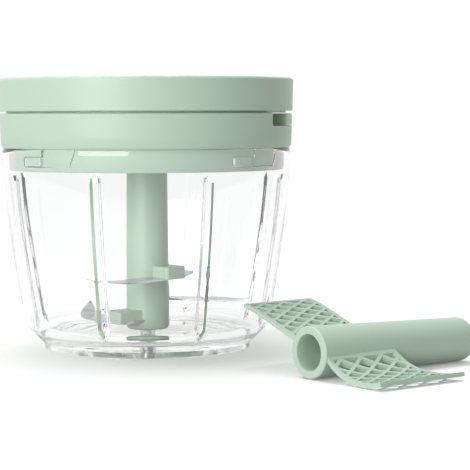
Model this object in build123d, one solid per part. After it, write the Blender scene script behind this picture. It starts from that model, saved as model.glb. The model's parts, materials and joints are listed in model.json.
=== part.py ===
from build123d import *
import math
import os

# Pull-cord food chopper: clear bowl, two-part lid with a cord reel inside, three-blade
# column and a lattice whisk attachment lying beside the bowl.
# Millimetres. Origin on the bowl axis at the table, +Z up, the pull handle faces +X.

# ---- driving dimensions -------------------------------------------------------------
TOTAL_H = 121.3          # table to the top of the lid
LID_R = 66.5             # lid outer radius at its top edge
GAP_Z = 105.65           # top edge of the lid's lower ring
GAP_H = 0.9              # shadow gap between the lower ring and the cover
RIM_Z = 90.2             # top of the bowl
RIM_R = 65.0             # outer radius of the bowl at its rim
FOOT_R = 47.2            # outer radius of the foot
FLOOR_Z = 6.5            # inner floor of the bowl
RIM_INNER_R = 62.9       # inner radius of the bowl at its rim

# bowl
UNDER_Z = 3.4            # height of the recess under the floor
FOOT_RING = 3.6          # width of the foot ring
PIN_BOSS_R = 8.0         # boss that holds the spindle, flush with the foot
PEDESTAL_R = 4.4         # raised seat round the spindle
PEDESTAL_Z = 8.0
PIN_R = 2.5
PIN_FROM_Z = 1.2
PIN_TO_Z = 23.0
RIB_COUNT = 8
RIB_FROM_ANGLE = -107.5  # the first rib, in degrees from +X
RIB_W = 5.3
RIB_CREST_W = 3.0
RIB_LOW_Z = 8.0
RIB_HIGH_Z = 78.7
RIB_PROUD = 1.7
RIB_ROOT = 1.0           # how far it is let into the wall
RIB_POINT = 5.0          # length of its pointed lower end

# bayonet
LUG_COUNT = 4
CHANNEL_FROM = -52.2     # closed end of the first channel, in degrees from +X
CHANNEL_SPAN = 27.0      # whole length of a channel, in degrees
CHANNEL_ROOF = 11.0      # the part of it under the roof
CHANNEL_LEAD = 2.9       # slanted lead-in at its open end
CHANNEL_LOW_Z = 82.9
CHANNEL_ROOF_Z = 86.8
CHANNEL_R = 64.0         # radius of the channel's bottom
LUG_START = 0.7          # from the channel's closed end to the lug
LUG_SPAN = 9.2
LUG_H = 3.4
LUG_EDGE = 0.8
LUG_R = 63.7

# lid
SKIRT_R = 62.1
SKIRT_T = 1.8
SKIRT_Z = 80.6
RING_LOW_Z = 90.5
RING_LOW_R = 65.5
RING_TOP_R = 66.05
RING_INNER_R = 63.3
RING_LIP_R = 64.1        # inside of the ring below the deck, round the seal
DECK_LOW_Z = 91.5
DECK_TOP_Z = 93.5
COVER_T = 2.2
COVER_LOW_R = 66.1
COVER_EDGE = 1.4         # rounding of the top edge
LIP_R = 63.0
LIP_T = 1.7
LIP_LOW_Z = 102.4
SEAL_R = 63.8
SEAL_T = 1.3
SEAL_Z = 90.3
SEAL_H = 0.9

# handle slot in the lower ring, centred on +X
SLOT_HALF = 31.1         # half its width, in degrees
SLOT_FLOOR_Z = 99.9
SLOT_BACK_R = 56.0
POCKET_T = 1.6
HANDLE_HALF = 17.0       # half the handle's width, in degrees
HANDLE_BACK_R = 57.6
HANDLE_FACE_R = 65.85
HANDLE_LOW_Z = 100.25
HANDLE_TOP_Z = 105.35
HANDLE_EDGE = 0.7
CORD_Z = 102.95
CORD_R = 0.8
CORD_HOLE_R = 1.0
KNOT_R = 2.0
KNOT_X = 62.15
PLUG_R = 2.15
PLUG_X = 64.4
GUIDE_R = 2.35
GUIDE_FLANGE_R = 2.6
GUIDE_BORE_R = 1.3
GUIDE_FROM_X = 53.2
GUIDE_TO_X = 57.1
GUIDE_FLANGE_T = 0.9

# reel and spring
DRUM_R = 21.2
REEL_R = 27.0
REEL_LOW_Z = 98.2
REEL_FLANGE_T = 1.4
REEL_WINDOWS = 6         # round holes in the upper flange
REEL_WINDOW_R = 3.2
REEL_WINDOW_AT_R = 12.6
GROOVE_TOP_Z = 106.2
WELL_R = 18.6            # inside of the drum, where the spring lies
WELL_Z = 100.4
JOURNAL_R = 6.0
JOURNAL_GAP = 0.05
JOURNAL_LOW_Z = 90.8
STUB_AF = 8.0            # hexagon that drives the socket
STUB_LOW_Z = 88.6
BUSH_R = 8.0
BUSH_FLANGE_R = 10.0
BUSH_FLANGE_T = 1.0
BEARING_BOSS_R = 11.0
BEARING_BOSS_Z = 97.0
CORD_WRAP_LOW_Z = 100.0
CORD_WRAP_TURNS = 3
CORD_WRAP_PITCH = 1.7
ARBOR_R = 5.0
ARBOR_TIP_R = 2.5
ARBOR_TIP_Z = 98.9
ARBOR_SEAT_Z = 101.2
ARBOR_KEY = 6.0          # square head in the plate
SPRING_T = 0.35
SPRING_IN_R = 5.2
SPRING_OUT_R = 18.1
SPRING_HALF_TURNS = 15
SPRING_LOW_Z = 101.2
SPRING_TOP_Z = 105.8
PLATE_R = 40.0
PLATE_LOW_Z = 109.0
PLATE_T = 2.0
PLATE_POSTS = 3
PLATE_POST_AT_R = 35.0
PLATE_POST_R = 4.0
PLATE_RIB_W = 1.6
PLATE_RIB_H = 2.4
PLATE_WINDOW = (14.0, 27.0)  # inner and outer radius
PLATE_WINDOW_FROM = 12.0     # its first edge, in degrees from a rib
PLATE_WINDOW_SPAN = 36.0

# screws
SCREW_R = 1.25
SCREW_HOLE_R = 1.7
SCREW_HEAD_R = 2.8
SCREW_HEAD_H = 2.0
COVER_SCREWS = 4
COVER_SCREW_AT_R = 53.0
COVER_SCREW_LEN = 22.0
COVER_BOSS_R = 4.4
PLATE_SCREW_LEN = 9.0
DRIVE_SCREW_LEN = 7.5
WASHER_R = 4.2
WASHER_T = 0.5
BOSS_SPLIT_Z = 107.0     # where the cover's bosses meet the base's

# drive coupling
SOCKET_R = 11.0
SOCKET_LOW_Z = 83.4
JAW_IN_R = 4.6
COLUMN_JAW_R = 8.6
SOCKET_JAW_R = 8.95
JAWS = 3
COLUMN_JAW_SPAN = 25.0
SOCKET_JAW_SPAN = 60.0
JAW_PLAY = 3.0           # behind the column's jaws, where the reel's return leaves them

# blade column
COLUMN_TOP_Z = 83.0
COLUMN_LOW_Z = 8.3
COLUMN_TOP_R = 9.2
COLUMN_LOW_R = 9.85
COLUMN_THROAT_R = 4.0     # opening in its top, inside the jaws
COLUMN_HOLLOW_R = 6.4
COLUMN_HOLLOW_Z = 40.0
COLUMN_JAW_TOP_Z = 88.2
PIN_GAP = 0.05
BLADE_T = 0.8
BLADE_W = 10.5
BLADE_HEEL = 14.0        # how far it goes on behind the boss
BLADE_OFFSET = 12.6      # blade centre line to the column axis
BLADE_HEEL_RISE = 2.6
BOSS_W = 11.0
BOSS_REACH = 19.0
BOSS_AT = -1.5           # its middle, along the blade
BOSS_EDGE = 1.6
BOSS_SEAT = 0.4          # how far the blade is let into its underside
BOSS_H = 5.9             # its top above the blade's underside
BLADES = {               # height, direction, reach from the axis, rise and length of the tip
    "upper_blade": (30.8, 221.4, 45.0, 4.8, 20.0),
    "middle_blade": (19.4, 341.4, 50.5, 5.2, 12.0),
    "lower_blade": (10.6, 123.0, 44.0, 6.0, 13.0),
}

# whisk attachment, lying on the table
WHISK_END = (69.0, -105.0)   # its open end, on the table plan
WHISK_TURN = 37.8            # direction of its axis from +X
WHISK_L = 85.5
WHISK_R = 10.6
WHISK_FAR_R = 9.3
WHISK_BORE_R = 7.3
WHISK_BORE_FAR_R = 6.6
WHISK_BORE_L = 80.0
WHISK_FAR_EDGE = 3.6
WHISK_MOUTH_EDGE = 0.8
WING_T = 1.7
WING_FROM = 1.0              # from the open end to the wings
WING_L = 36.0
WING_FRAME = 1.8             # width of the plain border
CELL_L = 10.8                # lattice pitch along the tube
CELL_W = 5.9                 # lattice pitch across it
BAR_W = 1.2
FRONT_WING = [(9.6, 9.6), (13.6, 5.9), (18.5, 3.2), (26.0, 1.5), (34.0, 1.3), (41.0, 2.6)]
BACK_WING = [(-8.6, 14.4), (-17.0, 17.4), (-25.0, 20.3), (-34.0, 23.4), (-43.0, 25.6)]
WINGS = {                    # extra length and border of the outer edge, one lattice crossing
    "front": (FRONT_WING, 9.0, 3.4, (17.5, 17.5)),
    "back": (BACK_WING, 0.0, 2.0, (4.1, -13.9)),
}


# ---- small helpers --------------------------------------------------------------------
def upright(outline):
    """A closed face in the XZ plane, from a line or a list of (radius, height) points."""
    if isinstance(outline, list):
        outline = Polyline(*outline, close=True)
    return Plane.XZ * make_face(outline)


def turned(outline, angle=360.0, start=0.0):
    """The outline turned about the Z axis from the start angle."""
    return Rot(0, 0, start) * revolve(upright(outline), axis=Axis.Z, revolution_arc=angle)


def rod(radius, low, high):
    """A round bar on the Z axis."""
    return Pos(0, 0, low) * extrude(Circle(radius), high - low)


def tube(outer, inner, low, high):
    """A round tube on the Z axis."""
    return Pos(0, 0, low) * extrude(Circle(outer) - Circle(inner), high - low)


def sector(inner, outer, low, high, start, span):
    """A block between two radii, two heights and two angles."""
    outline = [(inner, low), (outer, low), (outer, high), (inner, high)]
    return turned(outline, span, start)


def around(radius, count, first=0.0):
    """Locations on a circle about the Z axis."""
    return [Rot(0, 0, first + 360.0 * i / count) * Pos(radius, 0, 0) for i in range(count)]


def fused(first, parts):
    """One solid from a first solid and a list of others."""
    for part in parts:
        first = first + part
    return first


def cut(first, parts):
    """The first solid less each of the others."""
    for part in parts:
        first = first - part
    return first


# ---- bowl ---------------------------------------------------------------------------
SHOULDER = (53.4, 8.4)       # top of the slanted shoulder above the foot
OUTER_WALL = [(56.1, 13.0), (58.9, 31.0), (62.1, 54.0), (64.2, 75.0), (RIM_R, RIM_Z)]
INNER_WALL = [(53.4, 14.5), (56.4, 31.5), (60.1, 55.0), (62.1, 74.0), (RIM_INNER_R, RIM_Z)]
WALL_RISE = (0.17, 1.0)      # direction of the wall above the floor
RIM_RISE = (0.04, 1.0)       # and at the rim
FLOOR_EDGE_R = 46.0


def inner_outline(inset=0.0):
    """Line of the bowl's inside from the axis to the rim, set in by a distance."""
    wall = [(r - inset, z) for r, z in INNER_WALL]
    floor = FLOOR_Z + inset
    edge = (FLOOR_EDGE_R - inset, floor)
    corner_r = wall[0][0] - (wall[0][1] - floor) * WALL_RISE[0]
    corner = Bezier(edge, (corner_r, floor), wall[0])
    return Line((0, floor), edge) + corner + Spline(*wall, tangents=(WALL_RISE, RIM_RISE))


def inner_space(inset):
    """The space inside the bowl, set in by a distance."""
    to_axis = Line((RIM_INNER_R - inset, RIM_Z), (0, RIM_Z))
    return turned(inner_outline(inset) + to_axis + Line((0, RIM_Z), (0, FLOOR_Z + inset)))


def bowl_shell():
    """The bowl's wall, floor and foot, turned from one outline."""
    outer = Spline(*OUTER_WALL, tangents=(WALL_RISE, RIM_RISE))
    corner = Bezier(SHOULDER, (SHOULDER[0] + 2.1, SHOULDER[1] + 2.1), OUTER_WALL[0])
    recess_r = FOOT_R - FOOT_RING
    base = Polyline((0, FLOOR_Z), (0, 0), (PIN_BOSS_R, 0), (PIN_BOSS_R, UNDER_Z),
                    (recess_r, UNDER_Z), (recess_r, 0), (FOOT_R, 0), (FOOT_R, 2.2), SHOULDER)
    rim = Line((RIM_INNER_R, RIM_Z), (RIM_R, RIM_Z))
    return turned(inner_outline() + rim + outer + corner + base)


def wall_rib():
    """One pointed rib on the inside of the wall, facing +X, with bevelled sides and ends."""
    foot, head = INNER_WALL[0], INNER_WALL[3]
    lean = math.atan2(head[0] - foot[0], head[1] - foot[1])
    inwards = Vector(-math.cos(lean), 0, math.sin(lean))
    root = Plane(origin=Vector(foot[0], 0, foot[1]) - inwards * RIB_ROOT,
                 x_dir=(0, -1, 0), z_dir=inwards)
    bevel = math.atan((RIB_W - RIB_CREST_W) / 2 / RIB_PROUD)
    half = RIB_W / 2 + RIB_ROOT * math.tan(bevel)
    low = (RIB_LOW_Z - foot[1]) / math.cos(lean)
    high = (RIB_HIGH_Z - foot[1]) / math.cos(lean)
    front = Polygon((0, low), (half, low + RIB_POINT), (half, high), (-half, high),
                    (-half, low + RIB_POINT), align=None)
    bar = extrude(root * front, RIB_ROOT + RIB_PROUD + 0.5, taper=math.degrees(bevel))
    return (bar & inner_space(-0.4)) - inner_space(RIB_PROUD)


def bayonet_channel():
    """The recess for one lug: a slot under a roof, then a way up to the rim."""
    def at(angle):
        return math.radians(angle - CHANNEL_SPAN / 2) * RIM_INNER_R

    top = RIM_Z + 1.0
    open_from = CHANNEL_ROOF
    outline = Polyline((at(0), CHANNEL_LOW_Z), (at(CHANNEL_SPAN - CHANNEL_LEAD), CHANNEL_LOW_Z),
                       (at(CHANNEL_SPAN), top), (at(open_from), top),
                       (at(open_from), CHANNEL_ROOF_Z), (at(0), CHANNEL_ROOF_Z), close=True)
    block = extrude(Plane.YZ * make_face(outline), RIM_R)
    return block & tube(CHANNEL_R, RIM_INNER_R - 2.0, CHANNEL_LOW_Z - 1, top + 1)


def bowl():
    """The clear bowl with its ribs, bayonet channels and spindle seat."""
    body = fused(bowl_shell(), [Rot(0, 0, RIB_FROM_ANGLE + 360.0 * i / RIB_COUNT) * wall_rib()
                                for i in range(RIB_COUNT)])
    body = body + rod(PEDESTAL_R, FLOOR_Z - 1, PEDESTAL_Z)
    middle = CHANNEL_FROM + CHANNEL_SPAN / 2
    channels = [Rot(0, 0, middle + 360.0 * i / LUG_COUNT) * bayonet_channel()
                for i in range(LUG_COUNT)]
    return cut(body, channels + [rod(PIN_R, PIN_FROM_Z, PIN_TO_Z)])


def spindle_pin():
    """Steel pin that the blade column turns on."""
    pin = rod(PIN_R, PIN_FROM_Z, PIN_TO_Z)
    return chamfer(pin.edges().group_by(Axis.Z)[-1], 0.6)


# ---- lid ----------------------------------------------------------------------------
def post_places():
    """Where the posts of the reel plate stand."""
    return around(PLATE_POST_AT_R, PLATE_POSTS, 60.0)


def cover_screw_places():
    """Where screws join the two halves of the lid."""
    return around(COVER_SCREW_AT_R, COVER_SCREWS, 45.0)


def lid_lugs():
    """The lugs on the skirt, at the closed ends of the channels."""
    low = CHANNEL_LOW_Z + (CHANNEL_ROOF_Z - CHANNEL_LOW_Z - LUG_H) / 2
    lug = sector(SKIRT_R - 0.5, LUG_R, low, low + LUG_H, 0, LUG_SPAN)
    lug = fillet(lug.edges().filter_by(GeomType.LINE), LUG_EDGE)
    first = CHANNEL_FROM + LUG_START
    return [Rot(0, 0, first + 360.0 * i / LUG_COUNT) * lug for i in range(LUG_COUNT)]


def bayonet_ring():
    """The skirt under the lid that carries the lugs."""
    skirt_in = SKIRT_R - SKIRT_T
    skirt = turned([(skirt_in, DECK_LOW_Z), (skirt_in, SKIRT_Z), (SKIRT_R - 0.5, SKIRT_Z),
                    (SKIRT_R, SKIRT_Z + 1.2), (SKIRT_R, DECK_LOW_Z)])
    return fused(skirt, lid_lugs())


def lid_base_shell():
    """Lower ring and deck of the lid, turned from one outline."""
    return turned([
        (BUSH_R, DECK_LOW_Z), (RING_LIP_R, DECK_LOW_Z), (RING_LIP_R, RING_LOW_Z),
        (RING_LOW_R - 0.6, RING_LOW_Z), (RING_LOW_R, RING_LOW_Z + 0.9),
        (RING_TOP_R, GAP_Z - 0.4), (RING_TOP_R - 0.4, GAP_Z), (RING_INNER_R, GAP_Z),
        (RING_INNER_R, DECK_TOP_Z), (BEARING_BOSS_R, DECK_TOP_Z),
        (BEARING_BOSS_R, BEARING_BOSS_Z), (BUSH_R, BEARING_BOSS_Z)])


def lid_base():
    """Lower half of the lid: ring with the handle slot, deck, pocket and posts."""
    wall_half = SLOT_HALF + 2.0
    pocket = sector(SLOT_BACK_R - POCKET_T, RING_INNER_R + 0.6, SLOT_FLOOR_Z - POCKET_T, GAP_Z,
                    -wall_half, 2 * wall_half)
    slot = sector(SLOT_BACK_R, LID_R + 4, SLOT_FLOOR_Z, GAP_Z + 4, -SLOT_HALF, 2 * SLOT_HALF)
    slot = fillet(slot.edges().filter_by(GeomType.LINE).group_by(Axis.Z)[0], 1.2)
    posts = [p * rod(PLATE_POST_R, DECK_TOP_Z - 0.5, PLATE_LOW_Z) for p in post_places()]
    bosses = [p * rod(COVER_BOSS_R, DECK_TOP_Z - 0.5, BOSS_SPLIT_Z)
              for p in cover_screw_places()]
    body = fused(lid_base_shell(), [pocket] + posts + bosses)
    pilots = [p * rod(SCREW_R, PLATE_LOW_Z - 10, PLATE_LOW_Z + 1) for p in post_places()]
    holes = [p * rod(SCREW_HOLE_R, DECK_LOW_Z - 1, BOSS_SPLIT_Z + 1)
             for p in cover_screw_places()]
    sinks = [p * rod(SCREW_HEAD_R + 0.2, DECK_LOW_Z - 1, DECK_LOW_Z + SCREW_HEAD_H + 0.2)
             for p in cover_screw_places()]
    return cut(body, [slot, guide_blank()] + pilots + holes + sinks)


def lid_cover():
    """Upper half of the lid: top, wall, locating lip, slot roof and screw bosses."""
    low = GAP_Z + GAP_H
    wall_in = LID_R - COVER_T
    ceiling = TOTAL_H - COVER_T
    lip_in = LIP_R - LIP_T
    shell = turned([
        (0, TOTAL_H), (0, ceiling), (wall_in - 1.0, ceiling), (wall_in - 0.3, ceiling - 1.0),
        (wall_in - 0.6, low + 1.6), (lip_in, low + 1.6), (lip_in, LIP_LOW_Z),
        (LIP_R - 0.4, LIP_LOW_Z), (LIP_R, LIP_LOW_Z + 0.6), (LIP_R, low),
        (COVER_LOW_R - 0.35, low), (COVER_LOW_R, low + 0.35), (LID_R, TOTAL_H)])
    top_edge = shell.edges().filter_by(GeomType.CIRCLE).sort_by(SortBy.RADIUS)[-1]
    shell = fillet(top_edge, COVER_EDGE)
    relief_half = SLOT_HALF + 2.4
    relief = sector(lip_in - 2, LIP_R + 0.3, LIP_LOW_Z - 1, GAP_Z, -relief_half, 2 * relief_half)
    roof = sector(SLOT_BACK_R - POCKET_T, LIP_R, GAP_Z, low + 1.6, -relief_half, 2 * relief_half)
    bosses = [p * rod(COVER_BOSS_R, BOSS_SPLIT_Z, ceiling + 0.5) for p in cover_screw_places()]
    pilots = [p * rod(SCREW_R, BOSS_SPLIT_Z - 1, ceiling - 1) for p in cover_screw_places()]
    return cut(fused(shell - relief, [roof] + bosses), pilots)


def lid_seal():
    """Silicone ring between the lid and the rim of the bowl."""
    seal = tube(SEAL_R, SEAL_R - SEAL_T, SEAL_Z, SEAL_Z + SEAL_H)
    return fillet(seal.edges(), 0.25)


def guide_blank():
    """Outside of the cord guide, lying along +X in the back wall of the slot."""
    flange_from = GUIDE_TO_X - GUIDE_FLANGE_T
    body = rod(GUIDE_R, GUIDE_FROM_X, GUIDE_TO_X)
    flange = rod(GUIDE_FLANGE_R, flange_from, GUIDE_TO_X)
    return Pos(0, 0, CORD_Z) * Rot(0, 90, 0) * (body + flange)


def cord_guide():
    """Flanged eyelet that the cord runs through."""
    bore = Pos(0, 0, CORD_Z) * Rot(0, 90, 0) * rod(GUIDE_BORE_R, GUIDE_FROM_X - 1, GUIDE_TO_X + 1)
    guide = guide_blank() - bore
    mouths = guide.edges().filter_by(GeomType.CIRCLE).sort_by(SortBy.RADIUS)[:2]
    return chamfer(mouths, 0.5)


def pan_screw(length):
    """A pan-head screw, head up, its shank going down from z = 0."""
    head = rod(SCREW_HEAD_R, 0, SCREW_HEAD_H)
    head = fillet(head.edges().group_by(Axis.Z)[-1], 0.8)
    cross = Pos(0, 0, SCREW_HEAD_H) * (Box(3.0, 0.8, 1.8) + Box(0.8, 3.0, 1.8))
    return (head - cross) + rod(SCREW_R, -length, 0.1)


def cover_screws():
    """Screws from under the deck into the cover's bosses."""
    seat = DECK_LOW_Z + SCREW_HEAD_H + 0.2
    screw = Pos(0, 0, seat) * Rot(180, 0, 0) * pan_screw(COVER_SCREW_LEN)
    return Compound([p * screw for p in cover_screw_places()])


def plate_screws():
    """Screws that hold the reel plate on its posts."""
    screw = Pos(0, 0, PLATE_LOW_Z + PLATE_T) * pan_screw(PLATE_SCREW_LEN)
    return Compound([p * screw for p in post_places()])


# ---- reel, spring and drive -----------------------------------------------------------
def drive_bush():
    """Flanged bush that the reel's journal turns in."""
    bore = JOURNAL_R + JOURNAL_GAP
    return turned([(bore, DECK_LOW_Z), (BUSH_R, DECK_LOW_Z), (BUSH_R, BEARING_BOSS_Z),
                   (BUSH_FLANGE_R, BEARING_BOSS_Z),
                   (BUSH_FLANGE_R, BEARING_BOSS_Z + BUSH_FLANGE_T),
                   (bore, BEARING_BOSS_Z + BUSH_FLANGE_T)])


def stub_hexagon():
    """Section of the journal's end, which drives the socket."""
    return RegularPolygon(STUB_AF / 2, 6, major_radius=False)


def cord_reel():
    """Drum with its lower flange, spring well and journal."""
    low_flange = REEL_LOW_Z + REEL_FLANGE_T
    body = turned([
        (0, JOURNAL_LOW_Z), (JOURNAL_R, JOURNAL_LOW_Z), (JOURNAL_R, REEL_LOW_Z),
        (REEL_R, REEL_LOW_Z), (REEL_R, low_flange), (DRUM_R, low_flange),
        (DRUM_R, GROOVE_TOP_Z), (WELL_R, GROOVE_TOP_Z), (WELL_R, WELL_Z), (0, WELL_Z)])
    stub = Pos(0, 0, STUB_LOW_Z) * extrude(stub_hexagon(), JOURNAL_LOW_Z - STUB_LOW_Z + 0.2)
    seat = rod(ARBOR_TIP_R + JOURNAL_GAP, ARBOR_TIP_Z - 0.4, WELL_Z + 1)
    return cut(body + stub, [seat, rod(SCREW_R, STUB_LOW_Z - 1, STUB_LOW_Z + 8)])


def reel_flange():
    """Upper flange, which closes the spring well."""
    flange = tube(REEL_R, ARBOR_R + 1.0, GROOVE_TOP_Z, GROOVE_TOP_Z + REEL_FLANGE_T)
    window = rod(REEL_WINDOW_R, GROOVE_TOP_Z - 1, GROOVE_TOP_Z + REEL_FLANGE_T + 1)
    return cut(flange, [p * window for p in around(REEL_WINDOW_AT_R, REEL_WINDOWS)])


def cord_winding():
    """The turns of cord on the drum, as ridges side by side."""
    mean_r = DRUM_R + CORD_R
    foot = (DRUM_R, CORD_WRAP_LOW_Z)
    line = Line(foot, (mean_r, CORD_WRAP_LOW_Z))
    for i in range(CORD_WRAP_TURNS):
        low = CORD_WRAP_LOW_Z + i * CORD_WRAP_PITCH
        high = low + CORD_WRAP_PITCH
        crest = (mean_r + CORD_R, (low + high) / 2)
        line = line + ThreePointArc((mean_r, low), crest, (mean_r, high))
    return turned(line + Polyline((mean_r, high), (DRUM_R, high), foot))


def spiral(offset):
    """Half-circle arcs of a growing spiral, from its inner end outwards."""
    step = (SPRING_OUT_R - SPRING_IN_R - SPRING_T) / (SPRING_HALF_TURNS + 1)
    arcs = []
    for i in range(SPRING_HALF_TURNS):
        side = 1 if i % 2 == 0 else -1
        start = SPRING_IN_R + i * step
        centre = side * step / 2
        radius = start + step / 2 + offset
        arcs.append(CenterArc((-centre, 0), radius, 0 if side > 0 else 180, 180))
    return arcs


def recoil_spring():
    """Flat spiral spring between the arbor and the drum."""
    inner = spiral(0.0)
    outer = spiral(SPRING_T)
    line = Line(inner[0] @ 0, outer[0] @ 0) + Line(inner[-1] @ 1, outer[-1] @ 1)
    for arc in inner + outer:
        line = line + arc
    return Pos(0, 0, SPRING_LOW_Z) * extrude(make_face(line), SPRING_TOP_Z - SPRING_LOW_Z)


def spring_arbor():
    """Fixed post that holds the inner end of the spring."""
    top = PLATE_LOW_Z + PLATE_T
    post = rod(ARBOR_R, ARBOR_SEAT_Z, PLATE_LOW_Z)
    tip = rod(ARBOR_TIP_R, ARBOR_TIP_Z, ARBOR_SEAT_Z + 1)
    low = PLATE_LOW_Z - 0.5
    key = Pos(0, 0, low) * extrude(Rectangle(ARBOR_KEY, ARBOR_KEY), top - low)
    return fused(post, [tip, key])


def reel_plate():
    """Plate over the reel, on the posts of the base."""
    top = PLATE_LOW_Z + PLATE_T
    plate = rod(PLATE_R, PLATE_LOW_Z, top)
    turns = [Rot(0, 0, 360.0 * i / PLATE_POSTS) for i in range(PLATE_POSTS)]
    rib = Pos(0, 0, top) * Box(2 * PLATE_R - 8, PLATE_RIB_W, PLATE_RIB_H)
    window = sector(*PLATE_WINDOW, PLATE_LOW_Z - 1, top + 1, PLATE_WINDOW_FROM, PLATE_WINDOW_SPAN)
    key = Pos(0, 0, PLATE_LOW_Z - 1) * extrude(Rectangle(ARBOR_KEY, ARBOR_KEY), PLATE_T + 4)
    holes = [p * rod(SCREW_HOLE_R, PLATE_LOW_Z - 1, top + 1) for p in post_places()]
    heads = [p * rod(SCREW_HEAD_R + 0.7, top, top + 4) for p in post_places()]
    body = fused(plate, [turn * rib for turn in turns])
    return cut(body, [key] + holes + heads + [turn * window for turn in turns])


def jaws(outer, low, high, start, span):
    """Equal teeth about the Z axis, the first from the start angle."""
    return [Rot(0, 0, 360.0 * i / JAWS) * sector(JAW_IN_R, outer, low, high, start, span)
            for i in range(JAWS)]


def drive_socket():
    """Cup under the deck whose jaws turn the blade column."""
    cup = turned([(0, STUB_LOW_Z), (SOCKET_JAW_R, STUB_LOW_Z), (SOCKET_JAW_R, SOCKET_LOW_Z),
                  (SOCKET_R, SOCKET_LOW_Z), (SOCKET_R, JOURNAL_LOW_Z), (0, JOURNAL_LOW_Z)])
    start = COLUMN_JAW_SPAN / 2 + JAW_PLAY
    teeth = jaws(SOCKET_JAW_R + 0.5, SOCKET_LOW_Z + 0.6, STUB_LOW_Z + 0.2, start, SOCKET_JAW_SPAN)
    hexagon = Pos(0, 0, STUB_LOW_Z - 1) * extrude(stub_hexagon(), 5)
    return cut(fused(cup, teeth), [hexagon])


def drive_screw():
    """Screw that holds the socket on the journal's hexagon, with its washer head."""
    screw = Rot(180, 0, 0) * pan_screw(DRIVE_SCREW_LEN)
    return Pos(0, 0, STUB_LOW_Z) * (screw + rod(WASHER_R, -WASHER_T, 0))


# ---- cord and handle ------------------------------------------------------------------
def cord_lead():
    """The cord from the winding to the guide: a tangent of the drum."""
    wrap_r = DRUM_R + CORD_R
    reach = GUIDE_FROM_X - 0.6
    tangent_angle = math.acos(wrap_r / reach)
    touch = Vector(wrap_r * math.cos(tangent_angle), -wrap_r * math.sin(tangent_angle), CORD_Z)
    end = Vector(reach, 0, CORD_Z)
    along = (end - touch).normalized()
    start = touch + along * 9.0
    run = (end - along * 1.0 - start).length
    return Plane(origin=start, z_dir=along) * extrude(Circle(CORD_R), run)


def cord_stub():
    """The cord from the guide into the handle, up to its knot."""
    start = GUIDE_FROM_X - 0.4
    run = rod(CORD_R, 0, KNOT_X - KNOT_R + 0.3 - start)
    return Pos(start, 0, CORD_Z) * Rot(0, 90, 0) * run - Pos(KNOT_X, 0, CORD_Z) * Sphere(KNOT_R)


def pull_handle():
    """Curved bar that lies flush in the slot, with a pocket for the knot."""
    bar = sector(HANDLE_BACK_R, HANDLE_FACE_R, HANDLE_LOW_Z, HANDLE_TOP_Z,
                 -HANDLE_HALF, 2 * HANDLE_HALF)
    bar = fillet(bar.edges(), HANDLE_EDGE)
    lie = Pos(0, 0, CORD_Z) * Rot(0, 90, 0)
    hole = lie * rod(CORD_HOLE_R, HANDLE_BACK_R - 2, LID_R)
    pocket = lie * rod(PLUG_R, KNOT_X - KNOT_R, LID_R + 1)
    return cut(bar, [hole, pocket])


def cord_knot():
    """The knot in the cord's end."""
    return Pos(KNOT_X, 0, CORD_Z) * Sphere(KNOT_R)


def handle_plug():
    """Plug that closes the handle's pocket, flush with its face."""
    plug = Pos(0, 0, CORD_Z) * Rot(0, 90, 0) * rod(PLUG_R, PLUG_X, LID_R)
    return plug & rod(HANDLE_FACE_R - 0.15, HANDLE_LOW_Z, HANDLE_TOP_Z)


# ---- blades -------------------------------------------------------------------------
def blade_tip(reach):
    """How far along the blade its tip is, for a reach from the column's axis."""
    return math.sqrt(reach ** 2 - BLADE_OFFSET ** 2)


def blade_outline(tip):
    """Plan of a blade along +X: bowed cutting edge on the +Y side, trailing point."""
    half = BLADE_W / 2
    heel = -BLADE_HEEL
    edge = Spline((heel, half - 2.2), (6.0, half), (0.8 * tip, half - 0.8), (tip, -half - 0.2),
                  tangents=((1, 0.12), (0.6, -1)))
    back = Spline((tip, -half - 0.2), (0.55 * tip, -half + 0.3), (4.0, -half + 1.0),
                  (heel, -half + 2.4), tangents=((-1, 0.05), (-1, 0.12)))
    return make_face(edge + back + Line(back @ 1, edge @ 0))


def blade_side(tip, rise, length, lift):
    """Side line of a blade: rising at the heel, flat at the boss, upturned at the tip."""
    over = tip + 2.0
    bend = tip - length
    heel = Spline((-BLADE_HEEL - 2, BLADE_HEEL_RISE + lift), (-4.0, lift),
                  tangents=((1, -0.25), (1, 0)))
    flat = Line((-4.0, lift), (bend, lift))
    turn_up = Spline((bend, lift), (over, rise + lift), tangents=((1, 0), (1, 0.6)))
    return heel + flat + turn_up


def blade(tip, rise, length):
    """A blade along +X with its underside at z = 0, bent up at both ends."""
    low, high = blade_side(tip, rise, length, 0.0), blade_side(tip, rise, length, BLADE_T)
    ends = Line(low @ 0, high @ 0) + Line(low @ 1, high @ 1)
    strip = extrude(Plane.XZ * make_face(low + high + ends), BLADE_W, both=True)
    return strip & extrude(blade_outline(tip), 4 * rise, both=True)


def placed_blade(name):
    """A blade at its height and direction on the column."""
    height, direction, reach, rise, length = BLADES[name]
    place = Rot(0, 0, direction) * Pos(0, BLADE_OFFSET, height)
    return place * blade(blade_tip(reach), rise, length)


def blade_boss(name):
    """Rounded block on the column that backs a blade's root from above."""
    height, direction = BLADES[name][:2]
    outline = RectangleRounded(BOSS_W, BOSS_REACH, BOSS_EDGE)
    block = extrude(Pos(BOSS_AT, BOSS_REACH / 2, 0) * outline, BOSS_H - BOSS_SEAT)
    block = fillet(block.edges().group_by(Axis.Z)[-1], 0.5)
    return Rot(0, 0, direction) * Pos(0, 0, height + BOSS_SEAT) * block


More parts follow.
